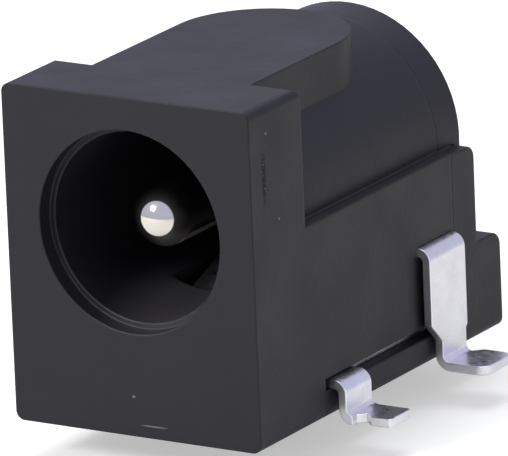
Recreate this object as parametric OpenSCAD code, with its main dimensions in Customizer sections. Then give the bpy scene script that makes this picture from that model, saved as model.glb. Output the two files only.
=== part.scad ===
// Surface-mount DC barrel jack for a 5.5 mm plug with a 2.1 mm centre hole.
// Row frame: +Z up, plug enters along +Y, +X to the right seen from the mouth.
// The origin is on the axis of the front locating peg, in the plane of the circuit board.

/* [Housing] */
// Width across the moulded body
body_w = 9; // [8.8:0.1:9.4]
// Height of the body above its own underside
body_h = 11; // [10.9:0.1:11.4]
// Gap that the feet leave between the board and the underside
standoff = 0.2; // [0.1:0.05:0.3]
// Depth of the square bezel behind the front face
bezel_t = 3.1; // [2.6:0.1:3.4]
// Distance from the front face to the seam with the rear insert
seam_y = 12.05; // [12.05:0.05:12.3]
// Radius of the body's long outer edges
edge_r = 0.3; // [0.15:0.05:0.35]
// Height of the ledges beside the barrel
ledge_z = 6.5; // [6.3:0.1:6.7]
// Radius of the barrel
barrel_r = 4; // [3.9:0.05:4.1]
// Half width of the flat pick-up land on top
land_half_w = 2.9; // [2.6:0.1:3]
// Distance from the front face to the centre of the land's round end
land_end_y = 8.1; // [7.8:0.1:8.5]

/* [Socket] */
// Height of the plug axis above the underside
axis_z = 6.65; // [6.6:0.05:6.7]
// Radius of the socket bore
bore_r = 3.1; // [3.05:0.05:3.15]
// Depth of the socket bore
bore_depth = 9.3; // [9.2:0.05:9.3]
// Radius of the lead-in at the mouth
mouth_r = 3.3; // [3.25:0.05:3.4]
// Depth of the lead-in at the mouth
mouth_depth = 0.6; // [0.4:0.1:0.8]
// Radius of the centre pin
pin_r = 1; // [0.95:0.05:1]
// Distance from the front face to the tip of the pin
pin_tip_y = 1.15; // [0.8:0.05:2]

/* [Rear insert] */
// Thickness of the rear cover behind the seam
cover_t = 1.45; // [1.3:0.05:1.6]
// Height of the rear cover's ledges beside its arch
cover_ledge_z = 6.45; // [6.2:0.05:6.6]
// Length of the low block behind the cover
block_l = 1.45; // [1:0.05:1.6]
// Height of the low block behind the cover
block_h = 3.2; // [2.8:0.05:3.4]
// Thickness of the tongue under the body
tongue_t = 0.92; // [0.88:0.02:0.92]
// Distance from the front face to the front end of the tongue
tongue_y = 4; // [3.8:0.05:4.1]
// Distance from the front face to the front peg
front_peg_y = 7.1; // [6.9:0.1:7.3]
// Distance between the two pegs
peg_pitch = 4.5; // [4.4:0.1:4.6]
// Radius of the front peg
front_peg_r = 0.75; // [0.7:0.05:0.75]
// Radius of the rear peg
rear_peg_r = 0.85; // [0.8:0.05:0.85]
// Length of the pegs below the board's top face
peg_l = 1.1; // [0.9:0.1:1.3]

/* [Sheet contacts] */
// Thickness of the contact strip
sheet_t = 0.3; // [0.28:0.01:0.3]
// Distance from the centre plane to the outer face of the rear straps
strap_x = 4.95; // [4.95:0.05:5.1]
// Distance from the centre plane to the outer face of the front straps
front_strap_x = 5.05; // [4.95:0.05:5.1]
// Distance from the centre plane to the outer ends of the feet
foot_x = 6.5; // [6.3:0.1:6.7]
// Width of a front foot along the body
front_foot_w = 1.28; // [1.2:0.04:1.4]
// Width of a rear foot along the body
rear_foot_w = 1.78; // [1.7:0.04:1.86]
// Distance from the front face to the middle of the front feet
front_foot_y = 5.14; // [5.1:0.02:5.18]
// Distance between the front and the rear feet
foot_pitch = 6.17; // [6.13:0.02:6.21]
// Height of the rear flanges' upper face above the underside
flange_z = 3.98; // [3.96:0.01:4]

/* [Hidden] */
$fn = 96;
plastic = [0.24, 0.23, 0.27];
tin = [0.82, 0.82, 0.86];
nickel = [0.78, 0.76, 0.7];
// overrun of cuts past the face they open
cut = 1;
half_w = body_w / 2;
// rounded upper rear edges of the bezel, the rear cover and the low block
shoulder_r = 0.35;
cover_edge_r = 0.45;
block_edge_r = 0.5;
cover_y = seam_y + cover_t;
block_y = cover_y + block_l;
// bends of the contact strip: outer radius at the top, inner radius at the foot
bend_r = 0.45;
foot_bend_r = 0.2;
// how far a strap's profile runs on into the flat of its foot
foot_overlap = 0.05;
// gap between tongue and housing, in which the sleeve spring is clamped by ribs
slot_h = 0.4;
slot_z = tongue_t + slot_h;
// clearance of the strips in their slots
slack = 0.02;
flange_bottom = flange_z - sheet_t;
// inner radius of the bends at the top
fold_r = bend_r - sheet_t;
// width of a front strap, which ends just behind its foot
front_strap_w = 1.58;
// the rear straps are as wide as the flanges above their chamfer
flange_y = 9.8;
flange_end_y = seam_y - 0.05;
// front faces of the upright plates that the rear insert presses home
plate_y = seam_y - sheet_t;
// press shank, collar and riveted tail of the centre pin
shank_r = 1.2;
collar_r = 1.45;
collar_y = 10.6;
tail_r = 0.6;
rivet_r = 0.8;
rivet_t = 0.3;
// uprights of the two rear contacts, from the centre plane
upright_in = 1.5;
upright_out = 2.6;
shunt_upright_z = 5.4;
// studs of the rear insert that enter the housing
stud_x = 1.9;
stud_z = 9;
stud_r = 0.5;
stud_l = 1.2;
// sleeve spring: base plate, riser, leaf slope, crest and tip
plate_half_w = 4.05;
plate_front_y = front_foot_y + front_foot_w / 2 + 0.05 - front_strap_w;
plate_rear_y = 10.9;
leaf_half_w = 1.1;
window_half_w = 1.35;
window_end_y = 10.75;
riser_y = 4.9;
riser_bend_r = 0.35;
riser_top_z = 2.8;
leaf_rise = 20;
leaf_run = 2.6;
crest_r = 1.2;
leaf_fall = 25;
tip_bend_r = 0.5;
tip_l = 0.7;

// Geometry below is drawn from the front face (y = 0) and the underside (z = 0).
module in_row_frame() {
    translate([0, -front_peg_y, standoff]) children();
}

// A box between two corners
module block(low, high) {
    translate(low) cube(high - low);
}

// A 2D outline in X and Z, extruded from y0 to y1
module along_y(y0, y1) {
    translate([0, y1, 0]) rotate([90, 0, 0]) linear_extrude(y1 - y0) children();
}

// A 2D outline in Y and Z, extruded from x0 to x1
module along_x(x0, x1) {
    translate([x0, 0, 0]) rotate([90, 0, 90]) linear_extrude(x1 - x0) children();
}

// A round bar on the plug axis
module bar(r, y0, y1) {
    translate([0, y0, axis_z]) rotate([-90, 0, 0]) cylinder(r = r, h = y1 - y0);
}

// A quarter of a bent strip: radii r and r + sheet_t, in the quadrant given by two signs
module quarter(r, side, up) {
    intersection() {
        difference() {
            circle(r + sheet_t);
            circle(r);
        }
        scale([side, up]) square(r + 2 * sheet_t);
    }
}

// Outline of the body seen from the front, with rounded corners
module body_outline() {
    translate([-half_w, edge_r]) square([body_w, body_h - 2 * edge_r]);
    translate([edge_r - half_w, 0]) square([body_w - 2 * edge_r, body_h]);
    for (x = [edge_r - half_w, half_w - edge_r], z = [edge_r, body_h - edge_r])
        translate([x, z]) circle(edge_r);
}

// The body's outline up to a given height
module outline_below(top) {
    intersection() {
        body_outline();
        translate([-half_w, 0]) square([body_w, top]);
    }
}

// The body's outline up to a given height, from y0 to y1, with its rear upper edge rounded
module round_block(y0, y1, top, r) {
    intersection() {
        along_y(y0, y1) outline_below(top);
        along_x(-body_w, body_w) {
            translate([y0, 0]) square([y1 - y0, top - r]);
            translate([y0, 0]) square([y1 - y0 - r, top]);
            translate([y1 - r, top - r]) circle(r);
        }
    }
}

module housing_shell() {
    round_block(0, bezel_t, body_h, shoulder_r);
    along_y(bezel_t - 0.5, seam_y) {
        outline_below(ledge_z);
        translate([0, axis_z]) circle(barrel_r);
    }
    translate([0, 0, axis_z]) linear_extrude(body_h - axis_z) {
        translate([-land_half_w, edge_r]) square([2 * land_half_w, land_end_y - edge_r]);
        translate([0, land_end_y]) circle(land_half_w);
    }
}

// Crush ribs that hold the spring plate down on the tongue
module crush_ribs() {
    rib_w = 0.6;
    for (side = [-1, 1])
        translate([side * 3.2 - rib_w / 2, 5, slot_z - slot_h + sheet_t])
            cube([rib_w, 4, slot_h - sheet_t + 0.1]);
}

module rear_pockets() {
    pocket_slack = 0.1;
    // seat of the riveted eye and of the pin terminal's upright
    along_y(plate_y, seam_y + cut) {
        translate([0, axis_z]) circle(collar_r + pocket_slack);
        translate([0, axis_z - 1]) square([upright_out + pocket_slack, 1.5]);
        translate([upright_in - pocket_slack, flange_bottom - slack])
            square([upright_out - upright_in + 2 * pocket_slack, axis_z - flange_bottom]);
    }
    // seat of the shunt contact's upright
    along_y(plate_y, seam_y + cut)
        translate([-upright_out - pocket_slack, flange_bottom - slack])
            square([upright_out - upright_in + 2 * pocket_slack,
                shunt_upright_z - flange_bottom + pocket_slack]);
    // slots through both side walls for the flanges
    block([upright_in - pocket_slack, flange_y - slack, flange_bottom - slack],
        [half_w + cut, seam_y + cut, flange_z + slack]);
    block([-half_w - cut, flange_y - slack, flange_bottom - slack],
        [1, seam_y + cut, flange_z + slack]);
    // room for the folds between the flanges and the uprights
    for (x0 = [upright_in - pocket_slack, -upright_out - pocket_slack])
        translate([x0, plate_y - fold_r, flange_z])
            cube([upright_out - upright_in + 2 * pocket_slack, fold_r + cut, fold_r]);
    for (side = [-1, 1])
        translate([side * stud_x, seam_y - stud_l - slack, stud_z])
            rotate([-90, 0, 0]) cylinder(r = stud_r, h = stud_l + cut);
}

module housing() {
    color(plastic) in_row_frame() {
        difference() {
            housing_shell();
            bar(mouth_r, -cut, mouth_depth);
            bar(bore_r, -cut, bore_depth);
            bar(shank_r, bore_depth - 0.1, seam_y);
            bar(collar_r, collar_y, seam_y);
            // channel for the tongue and the spring plate
            block([-half_w - cut, tongue_y - 0.05, -cut], [half_w + cut, seam_y + cut, slot_z]);
            // window through which the leaf reaches into the bore
            block([-window_half_w, riser_y - 0.45, 0],
                [window_half_w, flange_y, flange_z + slack]);
            block([-window_half_w, riser_y, 0],
                [window_half_w, window_end_y, flange_bottom]);
            rear_pockets();
        }
        crush_ribs();
    }
}

module peg(r, y) {
    tip = 0.2;
    translate([0, y, 0.1]) mirror([0, 0, 1]) cylinder(r = r, h = peg_l + standoff + 0.1 - tip);
    translate([0, y, tip - standoff - peg_l]) mirror([0, 0, 1])
        cylinder(r1 = r, r2 = r - tip, h = tip);
}

module rear_insert() {
    color(plastic) in_row_frame() {
        difference() {
            union() {
                along_y(tongue_y, cover_y) outline_below(tongue_t);
                round_block(seam_y, cover_y, cover_ledge_z, cover_edge_r);
                bar(barrel_r, seam_y, cover_y);
                round_block(seam_y, block_y, block_h, block_edge_r);
            }
            // recess round the rivet
            bar(rivet_r + 0.2, seam_y - cut, seam_y + rivet_t + 0.1);
        }
        peg(front_peg_r, front_peg_y);
        peg(rear_peg_r, front_peg_y + peg_pitch);
        for (side = [-1, 1])
            translate([side * stud_x, seam_y - stud_l, stud_z])
                rotate([-90, 0, 0]) cylinder(r = stud_r, h = stud_l + 0.1);
    }
}

module center_pin() {
    color(nickel) in_row_frame() {
        translate([0, pin_tip_y + pin_r, axis_z]) sphere(pin_r);
        bar(pin_r, pin_tip_y + pin_r, bore_depth);
        bar(shank_r, bore_depth, collar_y);
        bar(collar_r, collar_y, plate_y);
        bar(tail_r, plate_y, seam_y + rivet_t);
        bar(rivet_r, seam_y, seam_y + rivet_t);
    }
}

// Side profile of a contact in X and Z: flange, bend, strap down the wall, bend, start of the foot
module strap_profile(top_z, inner_x, outer_x) {
    foot_top = sheet_t - standoff;
    translate([inner_x, top_z - sheet_t]) square([outer_x - bend_r - inner_x, sheet_t]);
    translate([outer_x - bend_r, top_z - bend_r]) quarter(fold_r, 1, 1);
    translate([outer_x - sheet_t, foot_top + foot_bend_r])
        square([sheet_t, top_z - bend_r - foot_top - foot_bend_r]);
    translate([outer_x + foot_bend_r, foot_top + foot_bend_r]) quarter(foot_bend_r, -1, -1);
    translate([outer_x + foot_bend_r, -standoff]) square([foot_overlap, sheet_t]);
}

// Flat part of a foot, from x0 outwards, with rounded outer corners
module foot(x0, low, high, r) {
    translate([0, 0, -standoff]) linear_extrude(sheet_t) difference() {
        union() {
            translate([x0, low]) square([foot_x - r - x0, high - low]);
            translate([foot_x - r, low + r]) square([r, high - low - 2 * r]);
            for (y = [low + r, high - r]) translate([foot_x - r, y]) circle(r);
        }
        children();
    }
}

// Front contact leg: one width down the wall, then a foot with a small notch in its front edge
module front_leg() {
    low = front_foot_y - front_foot_w / 2;
    high = low + front_foot_w;
    x0 = front_strap_x + foot_bend_r;
    notch = 0.25;
    along_y(plate_front_y, plate_front_y + front_strap_w) intersection() {
        strap_profile(tongue_t + sheet_t, plate_half_w - 0.1, front_strap_x);
        translate([0, -cut]) square([x0, body_h]);
    }
    foot(x0, low, high, 0.12)
        translate([x0, low]) polygon([[-cut, -cut], [2 * notch, -cut], [2 * notch, 0], [notch, notch],
            [0, 0], [-cut, 0]]);
}

// Rear contact leg: as wide as the flange, then chamfered towards its foot
module rear_leg(inner_x) {
    low = front_foot_y + foot_pitch - rear_foot_w / 2;
    high = low + rear_foot_w;
    x0 = strap_x + foot_bend_r;
    chamfer_z = 1.42;
    step_z = 0.95;
    step = 0.1;
    flare = high - flange_end_y + step;
    intersection() {
        along_y(flange_y, flange_end_y) strap_profile(flange_z, inner_x, strap_x);
        along_x(0, foot_x) polygon([
            [flange_y, flange_z + cut], [flange_y, chamfer_z],
            [low, chamfer_z - low + flange_y], [low, -cut],
            [flange_end_y - step, -cut], [flange_end_y - step, step_z - step],
            [flange_end_y, step_z], [flange_end_y, flange_z + cut]]);
    }
    foot(x0, low, high, 0.4)
        translate([x0, high]) polygon([[-cut, cut], [-cut, -flare], [0, -flare], [flare, 0], [flare, cut]]);
}

// Fold that joins a flange to an upright plate at the seam, from x0 to x1
module upright(x0, x1, top_z) {
    along_x(x0, x1) {
        translate([flange_y, flange_bottom])
            square([seam_y - bend_r - flange_y, sheet_t]);
        translate([seam_y - bend_r, flange_bottom + bend_r]) quarter(fold_r, 1, -1);
        translate([plate_y, flange_bottom + bend_r])
            square([sheet_t, top_z - flange_bottom - bend_r]);
    }
}

module pin_terminal() {
    color(tin) in_row_frame() {
        rear_leg(upright_in);
        upright(upright_in, upright_out, axis_z + 0.45);
        along_y(plate_y, seam_y) difference() {
            union() {
                translate([0, axis_z]) circle(collar_r);
                translate([0, axis_z - 0.95]) square([upright_out, 1.4]);
            }
            translate([0, axis_z]) circle(tail_r);
        }
    }
}

module shunt_contact() {
    color(tin) in_row_frame() {
        mirror([1, 0, 0]) rear_leg(upright_in);
        mirror([1, 0, 0]) upright(upright_in, upright_out, shunt_upright_z);
        // tab that the leaf's tip presses against from below
        block([-upright_in - 0.1, flange_y, flange_bottom], [0.9, window_end_y - 0.1, flange_z]);
    }
}

function arc(c, r, from, to, steps = 8) = [
    for (i = [0 : steps])
        let (a = from + (to - from) * i / steps) c + r * [cos(a), sin(a)]
];

// Centres of the leaf's bends in Y and Z
plate_mid_z = tongue_t + sheet_t / 2;
root_c = [riser_y - riser_bend_r, plate_mid_z + riser_bend_r];
riser_c = [riser_y + riser_bend_r, riser_top_z];
crest_c = riser_c + (crest_r - riser_bend_r) * [sin(leaf_rise), -cos(leaf_rise)]
    + leaf_run * [cos(leaf_rise), sin(leaf_rise)];
tip_z = flange_bottom - sheet_t / 2;
crest_end = crest_c + crest_r * [sin(leaf_fall), cos(leaf_fall)];
fall_l = (crest_end.y - tip_z - tip_bend_r * (1 - cos(leaf_fall))) / sin(leaf_fall);
tip_c = crest_end + fall_l * [cos(leaf_fall), -sin(leaf_fall)]
    + tip_bend_r * [sin(leaf_fall), cos(leaf_fall)];

// One face of the leaf, d outside its middle line
function leaf_face(d) = concat(
    [[plate_front_y, plate_mid_z + d]],
    arc(root_c, riser_bend_r - d, 270, 360),
    arc(riser_c, riser_bend_r + d, 180, 90 + leaf_rise),
    arc(crest_c, crest_r + d, 90 + leaf_rise, 90 - leaf_fall),
    arc(tip_c, tip_bend_r - d, 270 - leaf_fall, 270),
    [[tip_c.x + tip_l, tip_z + d]]);

function reversed(list) = [for (i = [len(list) - 1 : -1 : 0]) list[i]];

module sleeve_spring() {
    color(tin) in_row_frame() {
        translate([0, 0, tongue_t]) linear_extrude(sheet_t) difference() {
            translate([-plate_half_w, plate_front_y])
                square([2 * plate_half_w, plate_rear_y - plate_front_y]);
            translate([-window_half_w, root_c.x])
                square([2 * window_half_w, window_end_y - root_c.x - 0.3]);
        }
        along_x(-leaf_half_w, leaf_half_w)
            polygon(concat(leaf_face(sheet_t / 2), reversed(leaf_face(-sheet_t / 2))));
        front_leg();
        mirror([1, 0, 0]) front_leg();
    }
}

housing();
rear_insert();
center_pin();
pin_terminal();
sleeve_spring();
shunt_contact();
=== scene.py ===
import math

import bmesh
import bpy
from mathutils import Matrix, Vector


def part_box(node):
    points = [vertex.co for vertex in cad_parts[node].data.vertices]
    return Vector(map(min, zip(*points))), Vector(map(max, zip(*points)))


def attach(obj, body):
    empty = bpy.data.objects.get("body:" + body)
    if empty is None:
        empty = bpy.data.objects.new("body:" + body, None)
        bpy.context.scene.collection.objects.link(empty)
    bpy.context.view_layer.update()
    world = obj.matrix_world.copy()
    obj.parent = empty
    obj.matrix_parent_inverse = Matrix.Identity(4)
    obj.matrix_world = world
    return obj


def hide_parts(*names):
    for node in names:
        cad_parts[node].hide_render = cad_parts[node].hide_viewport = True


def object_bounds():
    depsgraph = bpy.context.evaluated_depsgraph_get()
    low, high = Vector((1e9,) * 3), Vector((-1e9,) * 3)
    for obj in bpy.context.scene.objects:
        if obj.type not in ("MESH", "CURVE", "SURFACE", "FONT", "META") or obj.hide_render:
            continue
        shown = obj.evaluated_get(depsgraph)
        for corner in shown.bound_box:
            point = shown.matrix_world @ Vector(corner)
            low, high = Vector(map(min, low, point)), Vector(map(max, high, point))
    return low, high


MM = 0.001
SHARP_ANGLE = math.radians(32)

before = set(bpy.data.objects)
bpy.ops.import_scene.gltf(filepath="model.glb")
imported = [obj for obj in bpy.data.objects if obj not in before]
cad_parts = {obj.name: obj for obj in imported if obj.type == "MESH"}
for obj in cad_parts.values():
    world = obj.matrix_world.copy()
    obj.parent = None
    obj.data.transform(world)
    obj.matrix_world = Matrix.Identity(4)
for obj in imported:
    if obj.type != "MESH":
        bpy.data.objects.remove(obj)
cad_low, cad_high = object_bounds()

front_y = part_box("housing")[0].y
side_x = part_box("housing")[1].x
pin_low, pin_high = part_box("center_pin")
axis_z = (pin_low.z + pin_high.z) / 2


# ---- marks on the mouldings, and a painted pool of light in the bore ---------

def on_side(behind, up):
    """A place on the right side face: mm behind the front face and mm above the board."""
    return Vector((side_x, front_y + behind * MM, up * MM))


def on_front(across, up):
    """A place on the front face: mm right of the middle and mm above the board."""
    return Vector((across * MM, front_y, up * MM))


SCUFF = on_side(0.8, 8.9)
DUST = [on_side(1.0, 10.3), on_side(1.6, 7.4), on_front(-0.1, 1.5)]
SCRATCH = on_front(0.6, 0.6)
BORE_AXIS = Vector((0, 0, axis_z))
# Centre of a painted pool of light: the key light falling through the mouth onto the bore floor, low
# and to the right.
BORE_FLOOR_PAINTED_LIGHT = BORE_AXIS + Vector((0.7, -3.0, -3.05)) * MM


# ---- materials ---------------------------------------------------------------

def new_material(name):
    mat = bpy.data.materials.new(name)
    mat.use_nodes = True
    nodes = mat.node_tree.nodes
    return mat, nodes, mat.node_tree.links, nodes["Principled BSDF"]


def noise(nodes, links, coord, scale, detail):
    n = nodes.new("ShaderNodeTexNoise")
    n.inputs["Scale"].default_value = scale
    n.inputs["Detail"].default_value = detail
    n.inputs["Roughness"].default_value = 0.55
    links.new(coord, n.inputs["Vector"])
    return n.outputs["Fac"]


def remap(nodes, links, value, low, high, from_low=0.3, from_high=0.7):
    m = nodes.new("ShaderNodeMapRange")
    m.inputs["From Min"].default_value = from_low
    m.inputs["From Max"].default_value = from_high
    m.inputs["To Min"].default_value = low
    m.inputs["To Max"].default_value = high
    links.new(value, m.inputs["Value"])
    return m.outputs["Result"]


def colour_ramp(nodes, links, value, dark, light):
    r = nodes.new("ShaderNodeValToRGB")
    for e, pos, col in zip(r.color_ramp.elements, (0.3, 0.7), (dark, light)):
        e.position = pos
        e.color = (*col, 1)
    links.new(value, r.inputs["Fac"])
    return r.outputs["Color"]


def bump(nodes, links, height, distance, strength, under=None):
    b = nodes.new("ShaderNodeBump")
    b.inputs["Distance"].default_value = distance
    b.inputs["Strength"].default_value = strength
    links.new(height, b.inputs["Height"])
    if under is not None:
        links.new(under, b.inputs["Normal"])
    return b.outputs["Normal"]


def vector_math(nodes, links, operation, a, constant=None):
    n = nodes.new("ShaderNodeVectorMath")
    n.operation = operation
    links.new(a, n.inputs[0])
    if constant is not None:
        n.inputs[1].default_value = constant
    return n.outputs["Value" if operation == "LENGTH" else "Vector"]


def spot(nodes, links, coord, place, size, inner=0.6, outer=1.1):
    """1 inside a soft ellipsoid and 0 outside; place in metres, half sizes in mm."""
    away = vector_math(nodes, links, "SUBTRACT", coord, place)
    scaled = vector_math(nodes, links, "DIVIDE", away, [v * MM for v in size])
    length = vector_math(nodes, links, "LENGTH", scaled)
    return remap(nodes, links, length, 1.0, 0.0, inner, outer)


def combine(nodes, links, operation, a, b):
    m = nodes.new("ShaderNodeMath")
    m.operation = operation
    links.new(a, m.inputs[0])
    links.new(b, m.inputs[1])
    return m.outputs[0]


def tinted(nodes, links, mask, colour, tint):
    """The colour, replaced by a constant tint where the mask is 1."""
    m = nodes.new("ShaderNodeMix")
    m.data_type = "RGBA"
    links.new(mask, m.inputs["Factor"])
    links.new(colour, m.inputs["A"])
    m.inputs["B"].default_value = (*tint, 1)
    return m.outputs["Result"]


def moulded_plastic():
    """Near-black plastic with fine grain, a scuff, dust and a scratch, and a painted pool of light on
    the bore floor near the mouth.
    """
    mat, nodes, links, bsdf = new_material("moulded_plastic")
    coord = nodes.new("ShaderNodeTexCoord").outputs["Object"]
    grain = noise(nodes, links, coord, 9000, 3)
    cloud = noise(nodes, links, coord, 420, 5)
    speck = noise(nodes, links, coord, 3200, 2)
    plain = colour_ramp(nodes, links, cloud, (0.0085, 0.0075, 0.0105), (0.0125, 0.011, 0.015))

    scuffed = spot(nodes, links, coord, SCUFF, (0.3, 0.14, 0.95))
    flecks = remap(nodes, links, noise(nodes, links, coord, 7000, 2), 0.0, 1.0, 0.60, 0.66)
    marks = combine(nodes, links, "MULTIPLY", scuffed, flecks)
    for place in DUST:
        dust = spot(nodes, links, coord, place, (0.07, 0.06, 0.05))
        marks = combine(nodes, links, "MAXIMUM", marks, dust)
    scratch = spot(nodes, links, coord, SCRATCH, (0.5, 0.2, 0.03))
    marks = combine(nodes, links, "MAXIMUM", marks, scratch)
    marked = tinted(nodes, links, marks, plain, (0.16, 0.15, 0.16))

    # Painted light: a paler patch on the bore floor near the mouth stands in for the key light shining
    # in through the mouth.
    inside_bore = spot(nodes, links, coord, BORE_AXIS, (3.3, 100, 3.3), 1.0, 1.02)
    painted_light_spot = spot(nodes, links, coord, BORE_FLOOR_PAINTED_LIGHT, (2.6, 5.5, 1.7))
    painted_light_mask = combine(nodes, links, "MULTIPLY", inside_bore, painted_light_spot)
    coloured = tinted(nodes, links, painted_light_mask, marked, (0.055, 0.051, 0.058))
    links.new(coloured, bsdf.inputs["Base Color"])

    even = remap(nodes, links, cloud, 0.42, 0.56)
    worn = remap(nodes, links, scuffed, 0.0, 0.3, 0.0, 1.0)
    links.new(combine(nodes, links, "ADD", even, worn), bsdf.inputs["Roughness"])

    soft_edge = nodes.new("ShaderNodeBevel")
    soft_edge.samples = 8
    soft_edge.inputs["Radius"].default_value = 0.1 * MM
    pitted = bump(nodes, links, speck, 0.02 * MM, 0.35, soft_edge.outputs["Normal"])
    links.new(bump(nodes, links, grain, 0.01 * MM, 0.45, pitted), bsdf.inputs["Normal"])
    bsdf.inputs["IOR"].default_value = 1.42
    return mat


def tinned_strip():
    """Bright tin with a slightly uneven colour and a fine satin grain."""
    mat, nodes, links, bsdf = new_material("tinned_strip")
    coord = nodes.new("ShaderNodeTexCoord").outputs["Object"]
    cloud = noise(nodes, links, coord, 900, 5)
    fine = noise(nodes, links, coord, 6000, 3)
    colour = colour_ramp(nodes, links, cloud, (0.80, 0.78, 0.80), (0.90, 0.90, 0.95))
    links.new(colour, bsdf.inputs["Base Color"])
    bsdf.inputs["Metallic"].default_value = 1.0
    links.new(remap(nodes, links, fine, 0.26, 0.40), bsdf.inputs["Roughness"])
    links.new(bump(nodes, links, fine, 0.006 * MM, 0.4), bsdf.inputs["Normal"])
    return mat


def pin_plating():
    """Polished, slightly warm plating."""
    mat, nodes, links, bsdf = new_material("pin_plating")
    coord = nodes.new("ShaderNodeTexCoord").outputs["Object"]
    cloud = noise(nodes, links, coord, 1500, 4)
    colour = colour_ramp(nodes, links, cloud, (0.74, 0.70, 0.62), (0.80, 0.77, 0.70))
    links.new(colour, bsdf.inputs["Base Color"])
    bsdf.inputs["Metallic"].default_value = 1.0
    links.new(remap(nodes, links, cloud, 0.06, 0.12), bsdf.inputs["Roughness"])
    links.new(bump(nodes, links, cloud, 0.004 * MM, 0.15), bsdf.inputs["Normal"])
    return mat


# ---- pieces ------------------------------------------------------------------

def linked(name, bm):
    """An object made from the bmesh, in the scene."""
    mesh = bpy.data.meshes.new(name)
    bm.to_mesh(mesh)
    bm.free()
    obj = bpy.data.objects.new(name, mesh)
    bpy.context.collection.objects.link(obj)
    return obj


def add_bevel(obj, method, width, segments):
    bevel = obj.modifiers.new("edges", "BEVEL")
    bevel.limit_method = method
    bevel.width = width
    bevel.segments = segments
    bevel.harden_normals = True
    return bevel


def finished(node, material, edge_segments):
    """A copy of a CAD node, smooth over its curves; with edge_segments its sharp edges are rounded."""
    bm = bmesh.new()
    bm.from_mesh(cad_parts[node].data)
    bmesh.ops.remove_doubles(bm, verts=bm.verts, dist=1e-7)
    bmesh.ops.dissolve_limit(bm, angle_limit=math.radians(0.4), verts=bm.verts, edges=bm.edges)
    weight = bm.edges.layers.float.new("bevel_weight_edge")
    for e in bm.edges:
        paired = len(e.link_faces) == 2
        angle = e.calc_face_angle(0) if paired else 0
        e[weight] = 1.0 if angle > SHARP_ANGLE else 0.0
        e.smooth = paired and angle < SHARP_ANGLE
    for f in bm.faces:
        f.smooth = True
    obj = linked(node + "_finished", bm)
    if edge_segments:
        bevel = add_bevel(obj, "WEIGHT", 0.04 * MM, edge_segments)
        bevel.use_clamp_overlap = False
    obj.modifiers.new("normals", "WEIGHTED_NORMAL").keep_sharp = True
    obj.data.materials.append(material)
    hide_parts(node)
    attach(obj, "root")


def pin_profile():
    """Radius and place along the axis, from the round nose to the riveted tail."""
    pin_r, shank_r, collar_r, neck_r, rivet_r = 1.0 * MM, 1.2 * MM, 1.45 * MM, 0.6 * MM, 0.8 * MM
    shank_y, collar_y, eye_y, rivet_y = 2.2 * MM, 3.5 * MM, 4.65 * MM, 4.95 * MM
    nose_steps = 24
    points = [(0, pin_low.y)]
    for i in range(1, nose_steps + 1):
        a = math.radians(90 * i / nose_steps)
        points.append((pin_r * math.sin(a), pin_low.y + pin_r - pin_r * math.cos(a)))
    points += [(pin_r, shank_y), (shank_r, shank_y), (shank_r, collar_y), (collar_r, collar_y),
               (collar_r, eye_y), (neck_r, eye_y), (neck_r, rivet_y), (rivet_r, rivet_y),
               (rivet_r, pin_high.y), (0, pin_high.y)]
    return points


def turned_pin(material):
    """The pin: its profile spun about the plug's axis."""
    sides = 96
    bm = bmesh.new()
    rings = []
    for r, y in pin_profile():
        turns = [2 * math.pi * k / sides for k in range(sides if r else 1)]
        rings.append([bm.verts.new((r * math.cos(t), y, axis_z + r * math.sin(t))) for t in turns])
    for a, b in zip(rings, rings[1:]):
        for k in range(sides):
            j = (k + 1) % sides
            if len(a) == 1:
                bm.faces.new((a[0], b[k], b[j]))
            elif len(b) == 1:
                bm.faces.new((a[k], b[0], a[j]))
            else:
                bm.faces.new((a[k], b[k], b[j], a[j]))
    bmesh.ops.recalc_face_normals(bm, faces=bm.faces)
    for f in bm.faces:
        f.smooth = True
    obj = linked("center_pin_finished", bm)
    bevel = add_bevel(obj, "ANGLE", 0.04 * MM, 2)
    bevel.angle_limit = math.radians(40)
    obj.data.materials.append(material)
    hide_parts("center_pin")
    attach(obj, "root")


plastic = moulded_plastic()
tin = tinned_strip()
finished("housing", plastic, 0)
finished("rear_insert", plastic, 3)
finished("sleeve_spring", tin, 2)
finished("pin_terminal", tin, 2)
finished("shunt_contact", tin, 2)
turned_pin(pin_plating())


# ---- floor, lights, camera ---------------------------------------------------

def light_source(nodes, kind, strength, colour=(1, 1, 1)):
    n = nodes.new(kind)
    n.inputs["Color"].default_value = (*colour, 1)
    n.inputs["Strength"].default_value = strength
    return n.outputs[0]


def by_ray(nodes, links, ray, others, chosen):
    """One shader for a kind of ray, and another for the other kinds."""
    path = nodes.new("ShaderNodeLightPath")
    mix = nodes.new("ShaderNodeMixShader")
    links.new(path.outputs[ray], mix.inputs["Fac"])
    links.new(others, mix.inputs[1])
    links.new(chosen, mix.inputs[2])
    return mix.outputs[0]


def floor():
    """Pale floor under the pegs, a little brighter to the camera and in reflections."""
    half = 1.5
    bm = bmesh.new()
    corners = ((-half, -half), (half, -half), (half, half), (-half, half))
    bm.faces.new([bm.verts.new((x, y, cad_low.z)) for x, y in corners])
    obj = linked("floor", bm)
    mat, nodes, links, bsdf = new_material("floor")
    bsdf.inputs["Base Color"].default_value = (0.82, 0.82, 0.82, 1)
    bsdf.inputs["Roughness"].default_value = 0.9
    dark, mirrored, seen = (light_source(nodes, "ShaderNodeEmission", s) for s in (0.0, 0.15, 0.45))
    glow = by_ray(nodes, links, "Is Glossy Ray", dark, mirrored)
    glow = by_ray(nodes, links, "Is Camera Ray", glow, seen)
    add = nodes.new("ShaderNodeAddShader")
    links.new(bsdf.outputs[0], add.inputs[0])
    links.new(glow, add.inputs[1])
    links.new(add.outputs[0], nodes["Material Output"].inputs["Surface"])
    obj.data.materials.append(mat)


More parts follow.
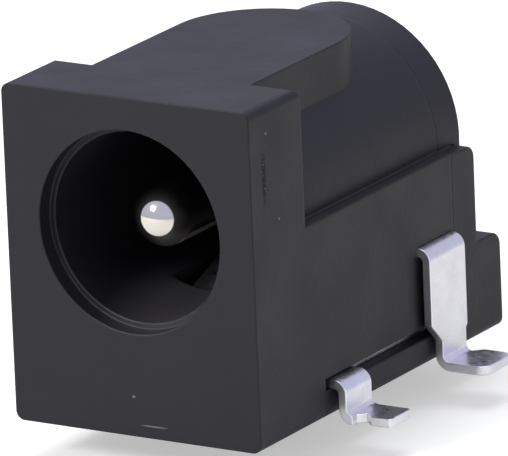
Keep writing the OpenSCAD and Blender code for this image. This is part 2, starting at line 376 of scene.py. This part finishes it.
def softbox(name, place, size, watts):
    light = bpy.data.lights.new(name, "AREA")
    light.shape = "RECTANGLE"
    light.size = size
    light.size_y = size
    light.energy = watts
    obj = bpy.data.objects.new(name, light)
    obj.location = place
    aim = Vector((0, 0, 5 * MM))
    obj.rotation_euler = (aim - Vector(place)).to_track_quat("-Z", "Y").to_euler()
    bpy.context.collection.objects.link(obj)


def surroundings():
    """Even pale light, brighter and bluish in reflections."""
    world = bpy.data.worlds.new("studio")
    bpy.context.scene.world = world
    world.use_nodes = True
    nodes, links = world.node_tree.nodes, world.node_tree.links
    kind = "ShaderNodeBackground"
    even = light_source(nodes, kind, 0.35, (0.96, 0.97, 1.0))
    mirrored = light_source(nodes, kind, 0.75, (0.74, 0.77, 1.0))
    seen = light_source(nodes, kind, 1.0, (0.8, 0.8, 0.8))
    mixed = by_ray(nodes, links, "Is Glossy Ray", even, mirrored)
    mixed = by_ray(nodes, links, "Is Camera Ray", mixed, seen)
    links.new(mixed, nodes["World Output"].inputs["Surface"])


def camera():
    """Camera set by angles about the part, far off with a long lens."""
    azimuth, elevation, roll = (math.radians(v) for v in (31.960, 16.455, -2.361))
    distance = 0.35447
    target = Vector((0, -1.1 * MM, 5.7 * MM))
    sideways, upwards = 0.6654 * MM, -0.3003 * MM
    back = Vector((math.sin(azimuth) * math.cos(elevation),
                   -math.cos(azimuth) * math.cos(elevation), math.sin(elevation)))
    right = Vector((math.cos(azimuth), math.sin(azimuth), 0))
    up = back.cross(right)
    c, s = math.cos(roll), math.sin(roll)
    right, up = c * right + s * up, -s * right + c * up
    place = target + back * distance + right * sideways + up * upwards
    cam = bpy.data.cameras.new("camera")
    cam.sensor_width = 36
    cam.lens = 797.69
    cam.shift_x = 0.00292
    cam.shift_y = -0.00178
    cam.clip_start = 0.01
    cam.clip_end = 10
    obj = bpy.data.objects.new("camera", cam)
    turn = Matrix((right, up, back)).transposed().to_4x4()
    obj.matrix_world = Matrix.Translation(place) @ turn
    bpy.context.collection.objects.link(obj)
    bpy.context.scene.camera = obj


floor()
softbox("top", (-0.02, 0.02, 0.16), 0.12, 0.13)
softbox("key", (-0.07, -0.17, 0.12), 0.05, 0.25)
softbox("side", (0.20, -0.05, 0.07), 0.10, 0.03)
surroundings()
camera()
bpy.context.scene.view_settings.view_transform = "Standard"

bpy.context.view_layer.update()
